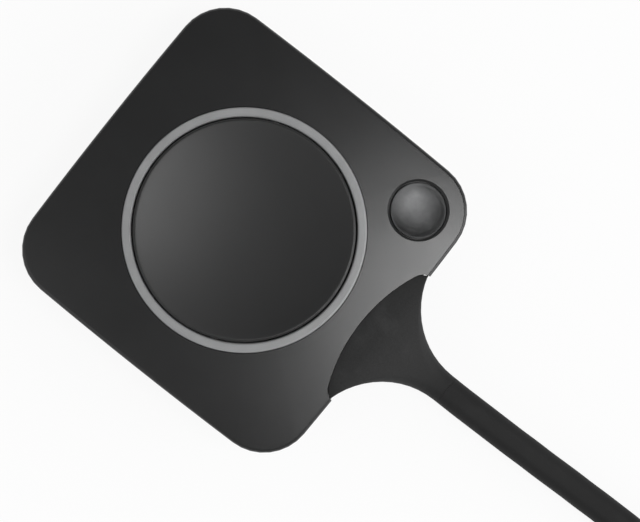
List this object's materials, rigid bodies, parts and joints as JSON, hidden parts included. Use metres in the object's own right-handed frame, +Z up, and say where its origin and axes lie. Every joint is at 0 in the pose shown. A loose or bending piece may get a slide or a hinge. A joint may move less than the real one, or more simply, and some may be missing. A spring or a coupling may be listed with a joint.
{
  "type": "wireless presentation dongle",
  "caption": "Square puck with a large dished push button in a light ring, a corner disc and a short flat cable with a USB type A plug.",
  "frame": {"origin": "on the table, under the axis of the button, at the middle of the housing", "axes": "+Z up along the button's axis, +X towards the cable and the plug, +Y to the cable's left side"},
  "size_m": [0.1629, 0.0594, 0.0163],
  "materials": {
    "shell_plastic": "satin, fine moulded grain",
    "base_plastic": "satin, fine moulded grain",
    "button_plastic": "satin",
    "clear_ring": "translucent, gloss",
    "carrier_plastic": "matt",
    "badge_metal": "brushed",
    "boot_rubber": "matt",
    "cable_rubber": "matt",
    "foot_rubber": "matt",
    "pad_rubber": "soft",
    "screw_steel": "plated",
    "plug_steel": "plated",
    "tinned_metal": "tinned",
    "contact_gold": "gold plated",
    "wire_copper": "insulated wire",
    "white_plastic": "moulded",
    "chip_plastic": "moulded",
    "board_green": "solder mask"
  },
  "bodies": {
    "root": {"top_shell": "shell_plastic", "bottom_shell": "base_plastic", "light_ring": "clear_ring", "button_carrier": "carrier_plastic", "carrier_screws": "screw_steel", "switch_body": "chip_plastic", "switch_terminals": "tinned_metal", "switch_cover": "tinned_metal", "switch_dome": "tinned_metal", "corner_badge": "badge_metal", "cable_boot": "boot_rubber", "cable": "cable_rubber", "cable_clamp": "tinned_metal", "clamp_screws": "screw_steel", "wire_loom": "wire_copper", "cable_header": "white_plastic", "plug_grip": "boot_rubber", "plug_shell": "plug_steel", "plug_insulator": "white_plastic", "plug_contacts": "contact_gold", "main_board": "board_green", "board_screws": "screw_steel", "status_leds": "white_plastic", "shield_frame": "tinned_metal", "shield_lid": "tinned_metal", "processor": "chip_plastic", "memory_chip": "chip_plastic", "thermal_pad": "pad_rubber", "radio_module": "tinned_metal", "antennas": "contact_gold", "crystal": "tinned_metal", "passive_parts": "chip_plastic", "case_screws": "screw_steel", "feet": "foot_rubber"},
    "button": {"push_button": "button_plastic"},
    "plunger": {"switch_plunger": "white_plastic"}
  },
  "joints": [
    {"name": "button_press", "type": "slide", "parent": "root", "child": "button", "axis": [0, 0, -1], "range_m": [0, 0.0008], "stiffness_N_per_m": 2500, "springref_m": -0.0004, "deforming": ["switch_dome"]},
    {"name": "plunger_press", "type": "slide", "parent": "root", "child": "plunger", "axis": [0, 0, -1], "range_m": [0, 0.0008]}
  ],
  "couplings": [
    {"joint": "plunger_press", "follows": "button_press", "ratio": 1}
  ]
}
